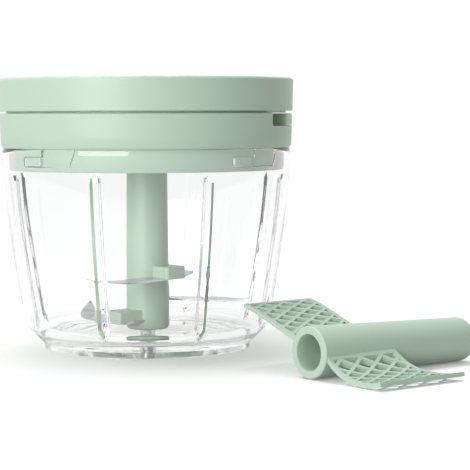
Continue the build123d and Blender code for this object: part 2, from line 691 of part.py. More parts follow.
def blade_column():
    """The column: tapered tube, jaws on top, bosses and the bore for the spindle."""
    body = turned([(0, COLUMN_LOW_Z), (COLUMN_LOW_R - 0.6, COLUMN_LOW_Z),
                   (COLUMN_LOW_R, COLUMN_LOW_Z + 0.6), (COLUMN_TOP_R, COLUMN_TOP_Z),
                   (COLUMN_THROAT_R, COLUMN_TOP_Z), (COLUMN_THROAT_R, COLUMN_TOP_Z - 4),
                   (COLUMN_HOLLOW_R, COLUMN_TOP_Z - 8), (COLUMN_HOLLOW_R, COLUMN_HOLLOW_Z),
                   (0, COLUMN_HOLLOW_Z)])
    teeth = jaws(COLUMN_JAW_R, COLUMN_TOP_Z - 0.5, COLUMN_JAW_TOP_Z,
                 -COLUMN_JAW_SPAN / 2, COLUMN_JAW_SPAN)
    body = fused(body, teeth + [blade_boss(name) for name in BLADES])
    bore = rod(PIN_R + PIN_GAP, COLUMN_LOW_Z - 1, PIN_TO_Z + 0.6)
    return cut(body, [bore] + [placed_blade(name) for name in BLADES])


# ---- whisk attachment -----------------------------------------------------------------
def on_table(part):
    """Moves a part from the whisk's own frame, +X along its tube, to the table."""
    return Pos(WHISK_END[0], WHISK_END[1], 0) * Rot(0, 0, WHISK_TURN) * part


def whisk_axis():
    """Frame of the tube: at its open end, Z along the tube, which lies on the table."""
    fall = math.atan((WHISK_R - WHISK_FAR_R) / WHISK_L)
    return Plane(origin=(0, 0, WHISK_R), x_dir=(0, 1, 0), z_dir=(math.cos(fall), 0, -math.sin(fall)))


def whisk_solid():
    """The tube without its bore, with a rounded far end."""
    edge = WHISK_FAR_EDGE
    side = Polyline((0, 0), (WHISK_R - WHISK_MOUTH_EDGE / 2, 0), (WHISK_R, WHISK_MOUTH_EDGE / 2),
                    (WHISK_FAR_R, WHISK_L - edge))
    far = Bezier((WHISK_FAR_R, WHISK_L - edge), (WHISK_FAR_R, WHISK_L), (WHISK_FAR_R - edge, WHISK_L))
    return turned(side + far + Polyline((WHISK_FAR_R - edge, WHISK_L), (0, WHISK_L), (0, 0)))


def whisk_tube():
    """Tapered tube of the whisk, open at its near end."""
    bore = turned([(0, -1), (WHISK_BORE_R + 0.5, -1), (WHISK_BORE_R, 0.5),
                   (WHISK_BORE_FAR_R, WHISK_BORE_L), (0, WHISK_BORE_L)])
    return on_table(whisk_axis() * (whisk_solid() - bore))


def lattice_cells(crossing, low, high):
    """Staggered diamond holes over a field, laid out from one crossing of the bars."""
    half_l = (CELL_L - BAR_W * 2.1) / 2
    half_w = (CELL_W - BAR_W * 1.15) / 2
    step = CELL_W / 2
    hole = Polygon((half_l, 0), (0, half_w), (-half_l, 0), (0, -half_w))
    rows = range(int((low[1] - crossing[1]) / step) - 1, int((high[1] - crossing[1]) / step) + 2)
    columns = range(int((low[0] - crossing[0]) / CELL_L) - 1,
                    int((high[0] - crossing[0]) / CELL_L) + 2)
    cells = []
    for row in rows:
        shift = CELL_L / 2 if row % 2 == 0 else 0.0
        for column in columns:
            place = Pos(crossing[0] + column * CELL_L + shift, crossing[1] + row * step)
            cells.append(place * hole)
    return cells


def wing(side):
    """A curved lattice wing: its cross-section drawn along the tube, then pierced."""
    profile, slant, border, crossing = WINGS[side]
    root, reach = profile[0][0], profile[-1][0]
    outwards = 1 if reach > root else -1
    sheet = trace(Spline(*profile), WING_T)
    far = WING_FROM + WING_L
    end = Plane(origin=(far + slant + 5, 0, 0), x_dir=(0, -1, 0), z_dir=(-1, 0, 0))
    strip = extrude(end * sheet, far + slant + 10)

    def plan(inset, rim):
        near, edge = root + outwards * inset, reach - outwards * rim
        corners = [(WING_FROM + inset, near), (far - inset, near),
                   (far + slant - inset, edge), (WING_FROM + inset, edge)]
        return Polygon(*[(u, -n) for u, n in corners], align=None)

    low, high = (WING_FROM, -max(root, reach)), (far + slant, -min(root, reach))
    cells = Sketch() + lattice_cells((crossing[0], -crossing[1]), low, high)
    holes = plan(WING_FRAME, border) & cells
    solid = strip & extrude(plan(0.0, 0.0), 40, both=True)
    solid = solid - extrude(holes, 40, both=True)
    return on_table(solid - whisk_axis() * whisk_solid())


# ---- output -------------------------------------------------------------------------
def nodes():
    """Every piece by its name."""
    return {
        "bowl": bowl(),
        "spindle_pin": spindle_pin(),
        "lid_seal": lid_seal(),
        "lid_base": lid_base(),
        "bayonet_ring": bayonet_ring(),
        "lid_cover": lid_cover(),
        "cover_screws": cover_screws(),
        "cord_guide": cord_guide(),
        "drive_bush": drive_bush(),
        "reel_plate": reel_plate(),
        "plate_screws": plate_screws(),
        "spring_arbor": spring_arbor(),
        "recoil_spring": recoil_spring(),
        "cord_lead": cord_lead(),
        "cord_reel": cord_reel(),
        "reel_flange": reel_flange(),
        "cord_winding": cord_winding(),
        "drive_socket": drive_socket(),
        "drive_screw": drive_screw(),
        "pull_handle": pull_handle(),
        "handle_plug": handle_plug(),
        "cord_knot": cord_knot(),
        "cord_stub": cord_stub(),
        "blade_column": blade_column(),
        "upper_blade": placed_blade("upper_blade"),
        "middle_blade": placed_blade("middle_blade"),
        "lower_blade": placed_blade("lower_blade"),
        "whisk_tube": whisk_tube(),
        "whisk_front_wing": wing("front"),
        "whisk_back_wing": wing("back"),
    }


os.makedirs("parts", exist_ok=True)
for node_name, node_shape in nodes().items():
    export_step(node_shape, f"parts/{node_name}.step")
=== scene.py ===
"""Finishes and sets the scene for a pull-cord food chopper with a whisk attachment."""
import bisect
import json
import math
from collections import namedtuple

import bmesh
import bpy
from bpy.props import FloatProperty, FloatVectorProperty, IntProperty, PointerProperty
from mathutils import Matrix, Vector
from mathutils.geometry import interpolate_bezier


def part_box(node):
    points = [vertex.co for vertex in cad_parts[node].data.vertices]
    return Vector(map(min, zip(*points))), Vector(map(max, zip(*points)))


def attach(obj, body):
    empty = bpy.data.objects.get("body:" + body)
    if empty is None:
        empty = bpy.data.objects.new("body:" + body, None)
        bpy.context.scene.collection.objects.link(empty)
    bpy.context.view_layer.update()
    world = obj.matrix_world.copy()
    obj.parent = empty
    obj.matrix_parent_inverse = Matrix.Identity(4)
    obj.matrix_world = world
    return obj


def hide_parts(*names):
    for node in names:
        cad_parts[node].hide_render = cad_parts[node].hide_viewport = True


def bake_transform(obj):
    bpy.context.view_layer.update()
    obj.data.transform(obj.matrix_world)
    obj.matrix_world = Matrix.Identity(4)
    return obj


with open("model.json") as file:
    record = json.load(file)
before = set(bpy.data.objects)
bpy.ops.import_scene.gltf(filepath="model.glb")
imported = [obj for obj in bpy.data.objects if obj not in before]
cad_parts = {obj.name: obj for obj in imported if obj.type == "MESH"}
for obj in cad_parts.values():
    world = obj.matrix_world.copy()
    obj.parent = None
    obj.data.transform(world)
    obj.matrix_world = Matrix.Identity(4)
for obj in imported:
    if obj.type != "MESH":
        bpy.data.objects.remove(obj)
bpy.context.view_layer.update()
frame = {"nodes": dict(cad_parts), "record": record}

bl_info = {
    "name": "Food chopper finisher",
    "version": (1, 0, 0),
    "blender": (4, 5, 0),
    "location": "View3D > Sidebar > Chopper",
    "description": "Finishes the mouldings, bowl, blades and cord of a food chopper",
    "category": "Object",
}

PIXELS = 470                      # width and height of the render
MINT_NODES = ("lid_base", "bayonet_ring", "lid_cover", "pull_handle", "handle_plug",
              "blade_column", "whisk_tube", "whisk_front_wing", "whisk_back_wing")
BLADE_NODES = ("upper_blade", "middle_blade", "lower_blade")
REEL_NODES = ("cord_reel", "reel_flange", "reel_plate", "drive_socket", "spring_arbor")
BEARING_NODES = ("drive_bush", "cord_guide")
SCREW_NODES = ("cover_screws", "plate_screws", "drive_screw")
CORD_NODES = ("cord_lead", "cord_winding", "cord_knot")
NODE_BODY = {node: body for body, nodes in frame["record"]["behaviour"]["bodies"].items()
             for node in nodes}

MM = 0.001                        # a millimetre in metres
MERGE = 2e-6                      # vertices nearer than this become one
FINE = 1e-6                       # lengths and turns up to this count as none
SPECK = 1e-7                      # edges shorter than this are dissolved
MARGIN = 1e-5                     # leeway where a place is compared with a limit
CORD_SIDES = 16

# Edges that turn more than these stay sharp.
MOULDING_CREASE = math.radians(32)
BOWL_CREASE = math.radians(60)
RIB_END_CREASE = math.radians(20)

# The bowl's outline, as (radius, height) in millimetres.
OUTER_WALL = ((56.1, 13.0), (58.9, 31.0), (62.1, 54.0), (64.2, 75.0), (65.0, 89.8))
INNER_WALL = ((53.4, 14.5), (56.4, 31.5), (60.1, 55.0), (62.1, 74.0), (62.9, 89.9))
WALL_RISE = (0.17, 1.0)           # direction of both walls above the floor
RIM_RISE = (0.04, 1.0)            # direction of both walls at the rim
RIM_TOP = ((62.98, 90.12), (63.2, 90.2), (64.0, 90.2), (64.6, 90.2), (64.9, 90.08))
SHOULDER = ((47.2, 2.4), (53.4, 8.4))
SHOULDER_CORNER = (55.5, 10.5)
FOOT = ((46.95, 0.35), (46.5, 0.0), (44.2, 0.0), (43.7, 0.35), (43.6, 3.1), (43.2, 3.4),
        (8.4, 3.4), (8.0, 3.1), (8.0, 0.0), (0.0, 0.0))
SEAT = ((0.0, 1.2), (2.5, 1.2), (2.5, 7.8), (2.8, 8.0), (4.1, 8.0), (4.4, 7.7),
        (4.4, 6.5))
FLOOR_EDGE = (46.0, 6.5)
FLOOR_LINES = (12.0, 22.0, 32.0, 40.0)    # radii at which the inner floor is divided
RIM_Z = 90.2
WALL_POINTS = 8                   # points on each curve of a wall or the shoulder
CORNER_POINTS = 10                # points on the corner between the floor and the wall

# Limits that tell the bowl's places apart, in millimetres.
SEAT_REACH = 5.0                  # radius of the pin's seat, which nothing moves
INNER_REACH = 0.6                 # depth in the wall that still counts as inside
CORNER_REACH = (54.2, 20.0)       # radius and height of the corner at the floor
CHANNEL_WALL = (60.0, 63.3)       # radii of the inner wall that the channels cut
RIM_FLAT = 63.25                  # radius from which the rim's top is flat
RIM_DEPTH = 0.6                   # depth at which the channels' rounded edges end
CHANNEL_CREASE = math.radians(50)     # edges that turn more frame a channel
POINT_CREST = 0.02                # share of its root that a rib's crest keeps at the foot

# The stage. Its lengths are in metres.
FLOOR_HALF = 4.0                  # half the side of the floor
FLOOR_DROP = 0.0002               # keeps the floor just below what stands on it
FLOOR_WHITE = 0.95                # the floor's colour as the camera sees it
LIGHT_TARGET = (0.03, -0.03, 0.05)
KEY_PLACE, KEY_SIZE = (-0.54, -0.93, 0.27), (0.8, 0.7)
TOP_PLACE, TOP_SIZE = (-0.15, 0.22, 1.12), (1.0, 0.7)


# ---- settings a user would change -----------------------------------------------------
class ChopperColours(bpy.types.PropertyGroup):
    mint: FloatVectorProperty(
        name="Mint plastic", description="Colour of the lid, column and whisk",
        subtype="COLOR", size=3, min=0, max=1, default=(0.520, 0.668, 0.535))
    clear: FloatVectorProperty(
        name="Clear plastic", description="Tint of the bowl",
        subtype="COLOR", size=3, min=0, max=1, default=(0.985, 0.989, 0.988))
    steel: FloatVectorProperty(
        name="Steel", description="Colour of the blades, the pin and the screws",
        subtype="COLOR", size=3, min=0, max=1, default=(0.53, 0.54, 0.55))
    cord: FloatVectorProperty(
        name="Cord", description="Colour of the pull cord",
        subtype="COLOR", size=3, min=0, max=1, default=(0.80, 0.81, 0.78))
    seal: FloatVectorProperty(
        name="Seal", description="Colour of the silicone seal",
        subtype="COLOR", size=3, min=0, max=1, default=(0.72, 0.78, 0.74))
    reel: FloatVectorProperty(
        name="Reel plastic", description="Colour of the reel, its plate and the socket",
        subtype="COLOR", size=3, min=0, max=1, default=(0.72, 0.72, 0.69))
    bearing: FloatVectorProperty(
        name="Bearing plastic", description="Colour of the bush and the cord guide",
        subtype="COLOR", size=3, min=0, max=1, default=(0.70, 0.70, 0.68))
    spring: FloatVectorProperty(
        name="Spring", description="Colour of the blued recoil spring",
        subtype="COLOR", size=3, min=0, max=1, default=(0.40, 0.42, 0.46))


class ChopperSizes(bpy.types.PropertyGroup):
    grain: FloatProperty(
        name="Grain", description="Size of the satin texture's grain",
        subtype="DISTANCE", unit="LENGTH", min=0.0001, max=0.002, default=0.00035)
    cord_diameter: FloatProperty(
        name="Cord diameter", description="Thickness of the pull cord",
        subtype="DISTANCE", unit="LENGTH", min=0.001, max=0.003, default=0.0016)
    cord_rings: IntProperty(
        name="Cord divisions", description="Divisions along the cord that stretches",
        min=8, max=96, default=40)


class ChopperBowl(bpy.types.PropertyGroup):
    rib_count: IntProperty(
        name="Ribs", description="Number of ribs inside the bowl",
        min=2, max=16, default=8)
    rib_from: FloatProperty(
        name="First rib", description="Direction of the first rib",
        subtype="ANGLE", unit="ROTATION", default=math.radians(-107.5))
    rib_width: FloatProperty(
        name="Rib width", description="Width of a rib at its root",
        subtype="DISTANCE", unit="LENGTH", default=0.0053)
    rib_flank: FloatProperty(
        name="Rib flank", description="Width of each bevelled side of a rib",
        subtype="DISTANCE", unit="LENGTH", default=0.00140)
    rib_proud: FloatProperty(
        name="Rib depth", description="How far a rib stands out from the wall",
        subtype="DISTANCE", unit="LENGTH", default=0.0014)
    rib_low: FloatProperty(
        name="Rib foot", description="Height of a rib's pointed lower end",
        subtype="DISTANCE", unit="LENGTH", default=0.0080)
    rib_point: FloatProperty(
        name="Rib point", description="Length of the pointed end",
        subtype="DISTANCE", unit="LENGTH", default=0.0050)
    rib_high: FloatProperty(
        name="Rib head", description="Height of a rib's upper end",
        subtype="DISTANCE", unit="LENGTH", default=0.0787)
    rib_slope: FloatProperty(
        name="Head bevel", description="Height of the bevel at a rib's upper end",
        subtype="DISTANCE", unit="LENGTH", default=0.0024)
    channel_count: IntProperty(
        name="Channels", description="Number of bayonet channels in the rim",
        min=2, max=8, default=4)
    channel_from: FloatProperty(
        name="First channel", description="Direction of the first channel's closed end",
        subtype="ANGLE", unit="ROTATION", default=math.radians(-52.2))
    channel_span: FloatProperty(
        name="Channel span", description="Whole length of a channel",
        subtype="ANGLE", unit="ROTATION", default=math.radians(27.0))
    channel_roof: FloatProperty(
        name="Channel roof", description="The part of a channel under its roof",
        subtype="ANGLE", unit="ROTATION", default=math.radians(11.0))
    channel_lead: FloatProperty(
        name="Channel lead-in", description="Slant of a channel's open end",
        subtype="ANGLE", unit="ROTATION", default=math.radians(2.55))
    channel_low: FloatProperty(
        name="Channel floor", description="Height of a channel's lower edge",
        subtype="DISTANCE", unit="LENGTH", default=0.0829)
    channel_high: FloatProperty(
        name="Channel ceiling", description="Height of a channel's roof",
        subtype="DISTANCE", unit="LENGTH", default=0.0868)
    channel_radius: FloatProperty(
        name="Channel radius", description="Radius of a channel's bottom",
        subtype="DISTANCE", unit="LENGTH", default=0.0640)
    channel_edge: FloatProperty(
        name="Channel edge", description="Radius of the edges around a channel",
        subtype="DISTANCE", unit="LENGTH", default=0.0004)
    fineness: FloatProperty(
        name="Fineness", description="Turn between two divisions of the bowl",
        subtype="ANGLE", unit="ROTATION", default=math.radians(0.65))


class ChopperStage(bpy.types.PropertyGroup):
    camera_place: FloatVectorProperty(
        name="Camera", description="Where the camera stands",
        subtype="TRANSLATION", unit="LENGTH", size=3, default=(0.0399, -0.798, 0.106))
    camera_pitch: FloatProperty(
        name="Pitch", description="How far the camera looks down",
        subtype="ANGLE", unit="ROTATION", default=math.radians(4.0))
    camera_roll: FloatProperty(
        name="Roll", description="How far the camera leans to the right",
        subtype="ANGLE", unit="ROTATION", default=math.radians(0.18))
    focal_pixels: FloatProperty(
        name="Focal length", description="Focal length in pixels of the render",
        min=200, max=5000, default=1758)
    key_power: FloatProperty(
        name="Key light", description="Power of the large light at the left",
        subtype="POWER", unit="POWER", min=0, default=8.8)
    top_power: FloatProperty(
        name="Top light", description="Power of the overhead light",
        subtype="POWER", unit="POWER", min=0, default=9.0)
    ambient: FloatProperty(
        name="Ambient", description="Strength of the even light from all round",
        min=0, max=2, default=0.32)
    floor_shade: FloatProperty(
        name="Floor shade", description="How much light the floor throws back",
        min=0, max=1, default=0.55)
    floor_lift: FloatProperty(
        name="Floor lift", description="Brightness added to the floor in the render",
        min=0, max=1, default=0.17)
    fade_from: FloatProperty(
        name="Fade from", description="Distance at which the floor starts to fade",
        subtype="DISTANCE", unit="LENGTH", default=0.22)
    fade_to: FloatProperty(
        name="Fade to", description="Distance at which the floor is plain white",
        subtype="DISTANCE", unit="LENGTH", default=0.50)


# ---- materials ------------------------------------------------------------------------
class Graph:
    """A material's node tree, with short calls to add and link its nodes."""

    def __init__(self, name):
        self.material = bpy.data.materials.new(name)
        self.material.use_nodes = True
        self.tree = self.material.node_tree
        self.shader = self.tree.nodes["Principled BSDF"]
        self.output = self.tree.nodes["Material Output"]

    def add(self, kind, **settings):
        """A new node with its settings."""
        node = self.tree.nodes.new(kind)
        for key, value in settings.items():
            setattr(node, key, value)
        return node

    def link(self, source, target):
        self.tree.links.new(source, target)

    def set(self, **values):
        """Sets inputs of the main shader, named with an underscore for each space."""
        for key, value in values.items():
            self.shader.inputs[key.replace("_", " ")].default_value = value

    def place(self, scale=(1, 1, 1)):
        """Object coordinates through a Mapping node."""
        where = self.add("ShaderNodeTexCoord")
        mapping = self.add("ShaderNodeMapping")
        mapping.inputs["Scale"].default_value = scale
        self.link(where.outputs["Object"], mapping.inputs["Vector"])
        return mapping.outputs["Vector"]

    def reckon(self, operation, first, second):
        """One number worked out from two."""
        node = self.add("ShaderNodeMath", operation=operation)
        self.link(first, node.inputs[0])
        self.link(second, node.inputs[1])
        return node.outputs["Value"]

    def surface(self, share, first, second):
        """Mixes two shaders by a factor and makes them the material's surface."""
        mix = self.add("ShaderNodeMixShader")
        self.link(share, mix.inputs["Fac"])
        self.link(first, mix.inputs[1])
        self.link(second, mix.inputs[2])
        self.link(mix.outputs["Shader"], self.output.inputs["Surface"])

    def noise(self, vector, scale, detail=2.0):
        """A soft random pattern, as a factor."""
        noise = self.add("ShaderNodeTexNoise")
        noise.inputs["Scale"].default_value = scale
        noise.inputs["Detail"].default_value = detail
        self.link(vector, noise.inputs["Vector"])
        return noise.outputs["Fac"]

    def spread(self, value, low, high):
        """A factor spread between two numbers."""
        ranged = self.add("ShaderNodeMapRange")
        ranged.inputs["To Min"].default_value = low
        ranged.inputs["To Max"].default_value = high
        self.link(value, ranged.inputs["Value"])
        return ranged.outputs["Result"]

    def shades(self, value, colour, low, high):
        """A colour that varies in brightness with a factor."""
        ramp = self.add("ShaderNodeValToRGB")
        for stop, share in zip(ramp.color_ramp.elements, (low, high)):
            stop.color = [min(1.0, part * share) for part in colour] + [1.0]
        self.link(value, ramp.inputs["Fac"])
        return ramp.outputs["Color"]

    def bump(self, height, depth, strength):
        """Lets a pattern tilt the light on the surface."""
        bump = self.add("ShaderNodeBump")
        bump.inputs["Distance"].default_value = depth
        bump.inputs["Strength"].default_value = strength
        self.link(height, bump.inputs["Height"])
        self.link(bump.outputs["Normal"], self.shader.inputs["Normal"])


def satin_plastic(name, colour, grain, roughness=0.36):
    """Moulded plastic with a fine satin grain and slight flow shading."""
    graph = Graph(name)
    place = graph.place()
    flow = graph.noise(place, scale=18.0)
    grains = graph.noise(place, scale=1.0 / grain, detail=3.0)
    graph.link(graph.shades(flow, colour, low=0.985, high=1.015),
               graph.shader.inputs["Base Color"])
    graph.link(graph.spread(grains, low=roughness - 0.03, high=roughness + 0.05),
               graph.shader.inputs["Roughness"])
    graph.bump(grains, depth=grain * 0.06, strength=0.35)
    graph.set(IOR=1.49)
    return graph.material


def clear_plastic(name, colour):
    """Polished clear plastic that lets most of the light through to what it holds."""
    graph = Graph(name)
    graph.set(Base_Color=(*colour, 1.0), Roughness=0.02, IOR=1.5, Transmission_Weight=1.0)
    path = graph.add("ShaderNodeLightPath")
    soft = graph.reckon("MAXIMUM", path.outputs["Is Shadow Ray"],
                        path.outputs["Is Diffuse Ray"])
    through = graph.add("ShaderNodeBsdfTransparent")
    graph.surface(soft, graph.shader.outputs["BSDF"], through.outputs["BSDF"])
    return graph.material


def brushed_steel(name, colour, streak=(900.0, 40.0, 900.0), roughness=0.24):
    """Steel with fine streaks, drawn out where the streak's scale is small."""
    graph = Graph(name)
    streaks = graph.noise(graph.place(streak), scale=1.0, detail=4.0)
    graph.link(graph.shades(streaks, colour, low=0.88, high=1.06),
               graph.shader.inputs["Base Color"])
    graph.link(graph.spread(streaks, low=roughness - 0.06, high=roughness + 0.08),
               graph.shader.inputs["Roughness"])
    graph.set(Metallic=1.0)
    graph.bump(streaks, depth=0.00001, strength=0.3)
    return graph.material


def braided_cord(name, colour, diameter):
    """Round nylon braid: two slanted bands that cross, with painted shade in the grooves
    between them.
    """
    graph = Graph(name)
    bands = []
    for slant in (1.0, -1.0):
        wave = graph.add("ShaderNodeTexWave", wave_type="BANDS",
                         bands_direction="DIAGONAL")
        wave.inputs["Scale"].default_value = 0.35 / diameter
        wave.inputs["Distortion"].default_value = 0.0
        graph.link(graph.place((1.0, slant, slant)), wave.inputs["Vector"])
        bands.append(wave.outputs["Fac"])
    height = graph.reckon("MAXIMUM", *bands)
    # Painted shade: the low grooves between the bands are coloured darker, following the
    # bump's height.
    graph.link(graph.shades(height, colour, low=0.72, high=1.05),
               graph.shader.inputs["Base Color"])
    graph.set(Roughness=0.6, Sheen_Weight=0.2)
    graph.bump(height, depth=diameter * 0.08, strength=0.6)
    return graph.material


def silicone_rubber(name, colour):
    """Slightly translucent silicone."""
    graph = Graph(name)
    blush = graph.noise(graph.place(), scale=60.0)
    graph.link(graph.shades(blush, colour, low=0.97, high=1.02),
               graph.shader.inputs["Base Color"])
    graph.set(Roughness=0.45, IOR=1.41, Subsurface_Weight=0.15)
    graph.shader.inputs["Subsurface Radius"].default_value = (0.002, 0.002, 0.002)
    return graph.material


# ---- pieces ---------------------------------------------------------------------------
def is_smooth(edge, crease):
    """Whether the shading runs on over an edge."""
    return len(edge.link_faces) == 2 and edge.calc_face_angle(0.0) < crease


def new_mesh(name, bm):
    """A mesh from a bmesh, which is freed."""
    mesh = bpy.data.meshes.new(name)
    bm.to_mesh(mesh)
    bm.free()
    return mesh


def new_object(name, mesh, material):
    """An object at the origin that shows a mesh in one material."""
    mesh.materials.append(material)
    piece = bpy.data.objects.new(name, mesh)
    bpy.context.scene.collection.objects.link(piece)
    return piece


def finished_copy(node, material):
    """A merged, smooth-shaded copy of a CAD node that stands for it."""
    mesh = frame["nodes"][node].data.copy()
    mesh.name = node + "_mesh"
    mesh.materials.clear()
    bm = bmesh.new()
    bm.from_mesh(mesh)
    bmesh.ops.remove_doubles(bm, verts=bm.verts, dist=MERGE)
    bmesh.ops.dissolve_degenerate(bm, edges=bm.edges, dist=SPECK)
    for face in bm.faces:
        face.smooth = True
        face.material_index = 0
    for edge in bm.edges:
        edge.smooth = is_smooth(edge, MOULDING_CREASE)
    bm.to_mesh(mesh)
    bm.free()
    if "custom_normal" in mesh.attributes:
        mesh.attributes.remove(mesh.attributes["custom_normal"])
    piece = new_object(node + "_finished", mesh, material)
    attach(piece, NODE_BODY[node])
    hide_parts(node)


def stretched_cord(name, start, end, diameter, rings, material):
    """A round cord along +X, divided so that it can stretch."""
    bm = bmesh.new()
    turn = Matrix.Rotation(math.radians(90), 4, "Y")
    bmesh.ops.create_circle(bm, cap_ends=False, radius=diameter / 2, segments=CORD_SIDES,
                            matrix=Matrix.Translation(start) @ turn)
    step = (end - start) / rings
    edges = list(bm.edges)
    bmesh.ops.contextual_create(bm, geom=edges)
    for _ in range(rings):
        grown = bmesh.ops.extrude_edge_only(bm, edges=edges)
        edges = [part for part in grown["geom"] if isinstance(part, bmesh.types.BMEdge)]
        verts = [part for part in grown["geom"] if isinstance(part, bmesh.types.BMVert)]
        bmesh.ops.translate(bm, verts=verts, vec=step)
    bmesh.ops.contextual_create(bm, geom=edges)
    bmesh.ops.recalc_face_normals(bm, faces=bm.faces)
    for face in bm.faces:
        face.smooth = len(face.verts) == 4
    return new_object(name, new_mesh(name, bm), material)


def paint(nodes, material):
    """Gives CAD nodes a material."""
    for node in nodes:
        for slot in frame["nodes"][node].material_slots:
            slot.material = material


# ---- bowl -----------------------------------------------------------------------------
# A line up the bowl's wall: its direction, what it follows, the side of the rib that it
# lies on and the turn from it to the rib's middle.
Stop = namedtuple("Stop", "angle kind side to_middle", defaults=("plain", 0, 0.0))


def in_section(points):
    """Points in the bowl's section, from pairs of radius and height."""
    return [Vector((radius, 0.0, height)) for radius, height in points]


def smooth_run(points):
    """Points on a wall's smooth line through a few."""
    spots = in_section(points)
    first, last = in_section((WALL_RISE, RIM_RISE))
    ways = [first.normalized()]
    ways += [(spots[i + 1] - spots[i - 1]).normalized() for i in range(1, len(spots) - 1)]
    ways.append(last.normalized())
    run = []
    for i in range(len(spots) - 1):
        start, end = spots[i], spots[i + 1]
        reach = (end - start).length / 3
        curve = interpolate_bezier(start, start + ways[i] * reach,
                                   end - ways[i + 1] * reach, end, WALL_POINTS)
        run += curve[:-1]
    return run + [spots[-1]]


def rounded_corner(start, corner, end, count):
    """Points on the curve that leaves and meets two lines which cross at the corner."""
    a, c, b = in_section((start, corner, end))
    return interpolate_bezier(a, a.lerp(c, 2 / 3), b.lerp(c, 2 / 3), b, count)


def bowl_outline():
    """The outline of the bowl's section, from the axis over the rim to the axis."""
    first = INNER_WALL[0]
    floor = FLOOR_EDGE[1]
    corner = (first[0] - (first[1] - floor) * WALL_RISE[0], floor)
    low, high = SHOULDER
    line = in_section(SEAT)
    line += in_section((radius, floor) for radius in FLOOR_LINES)
    line += rounded_corner(FLOOR_EDGE, corner, first, CORNER_POINTS)
    line += smooth_run(INNER_WALL)[1:]
    line += in_section(RIM_TOP)
    line += smooth_run(OUTER_WALL)[::-1]
    line += rounded_corner(OUTER_WALL[0], SHOULDER_CORNER, high, WALL_POINTS)[1:]
    line += in_section((low, *FOOT))
    return [point * MM for point in line]


def rib_section(size, z):
    """Half-width at the root, half-width of the crest and depth of a rib at a height."""
    full = size.rib_width / 2
    if z <= size.rib_low or z >= size.rib_high:
        return full, full - size.rib_flank, 0.0
    root = min(full, full * (z - size.rib_low) / size.rib_point)
    crest = max(root - size.rib_flank, root * POINT_CREST)
    share = min(1.0, (root - crest) / size.rib_flank,
                (size.rib_high - z) / size.rib_slope)
    return root, crest, size.rib_proud * share


def bowl_sectors(size):
    """How many equal sectors the bowl is made of."""
    return math.gcd(size.rib_count, size.channel_count)


def bowl_stops(size):
    """The lines that one sector must have, in order."""
    half = size.rib_width / 2 / INNER_WALL[2][0] / MM
    crest = half * (1 - 2 * size.rib_flank / size.rib_width)
    first = size.rib_from + math.pi / size.rib_count
    span = math.tau / bowl_sectors(size)
    stops = [Stop(0.0), Stop(span)]
    for i in range(size.rib_count):
        middle = (size.rib_from + math.tau * i / size.rib_count - first) % math.tau
        if middle < span:
            stops += [Stop(middle - half, "root", -1, half),
                      Stop(middle - crest, "crest", -1, crest), Stop(middle),
                      Stop(middle + crest, "crest", 1, -crest),
                      Stop(middle + half, "root", 1, -half)]
    for i in range(size.channel_count):
        start = (size.channel_from + math.tau * i / size.channel_count - first) % math.tau
        lead = start + size.channel_span - size.channel_lead
        if lead < span:
            stops += [Stop(start), Stop(start + size.channel_roof), Stop(lead, "lead")]
    return sorted(stop._replace(angle=first + stop.angle) for stop in stops)


def stop_place(size, stop, radius, z, inside):
    """The direction of a line at a radius and height."""
    angle, kind, side, to_middle = stop
    if kind == "lead" and z > size.channel_low:
        rise = (z - size.channel_low) / (RIM_Z * MM - size.channel_low)
        return angle + size.channel_lead * rise
    if kind in ("root", "crest") and inside and size.rib_low < z < size.rib_high + FINE:
        root, crest, _ = rib_section(size, min(z, size.rib_high - SPECK))
        return angle + to_middle + side * (root if kind == "root" else crest) / radius
    return angle


def spun_bowl(size, stops):
    """The bowl's outline turned through one sector, with a line at each stop."""
    bm = bmesh.new()
    verts = [bm.verts.new(point) for point in bowl_outline()]
    for a, b in zip(verts, verts[1:]):
        bm.edges.new((a, b))
    crest_end = size.rib_low + size.rib_point * 2 * size.rib_flank / size.rib_width
    for z in (size.rib_low, crest_end, size.rib_low + size.rib_point,
              size.rib_high - size.rib_slope, size.rib_high,
              size.channel_low, size.channel_high):
        bmesh.ops.bisect_plane(bm, geom=bm.verts[:] + bm.edges[:], dist=FINE,
                               plane_co=(0, 0, z), plane_no=(0, 0, 1))
    bmesh.ops.rotate(bm, verts=bm.verts, cent=(0, 0, 0),
                     matrix=Matrix.Rotation(stops[0].angle, 3, "Z"))
    row = bm.verts[:] + bm.edges[:]
    for here, there in zip(stops, stops[1:]):
        turn = there.angle - here.angle
        if turn < FINE:
            continue
        steps = max(1, math.ceil(turn / size.fineness))
        spun = bmesh.ops.spin(bm, geom=row, cent=(0, 0, 0), axis=(0, 0, 1), angle=turn,
                              steps=steps, use_merge=False)
        row = spun["geom_last"]
    bmesh.ops.remove_doubles(bm, verts=bm.verts, dist=FINE)
    bmesh.ops.recalc_face_normals(bm, faces=bm.faces)
    return bm


def polar(point):
    """A point's distance from the axis and its direction."""
    return math.hypot(point.x, point.y), math.atan2(point.y, point.x)


def is_inside(radius, z):
    """Whether a point of the bowl belongs to its inner side."""
    for (r0, z0), (r1, z1) in zip(INNER_WALL, INNER_WALL[1:]):
        if z0 * MM <= z <= z1 * MM:
            wall = r0 + (r1 - r0) * (z / MM - z0) / (z1 - z0)
            return radius < (wall + INNER_REACH) * MM
    reach, top = CORNER_REACH
    return radius < reach * MM and FLOOR_EDGE[1] * MM - MARGIN < z < top * MM


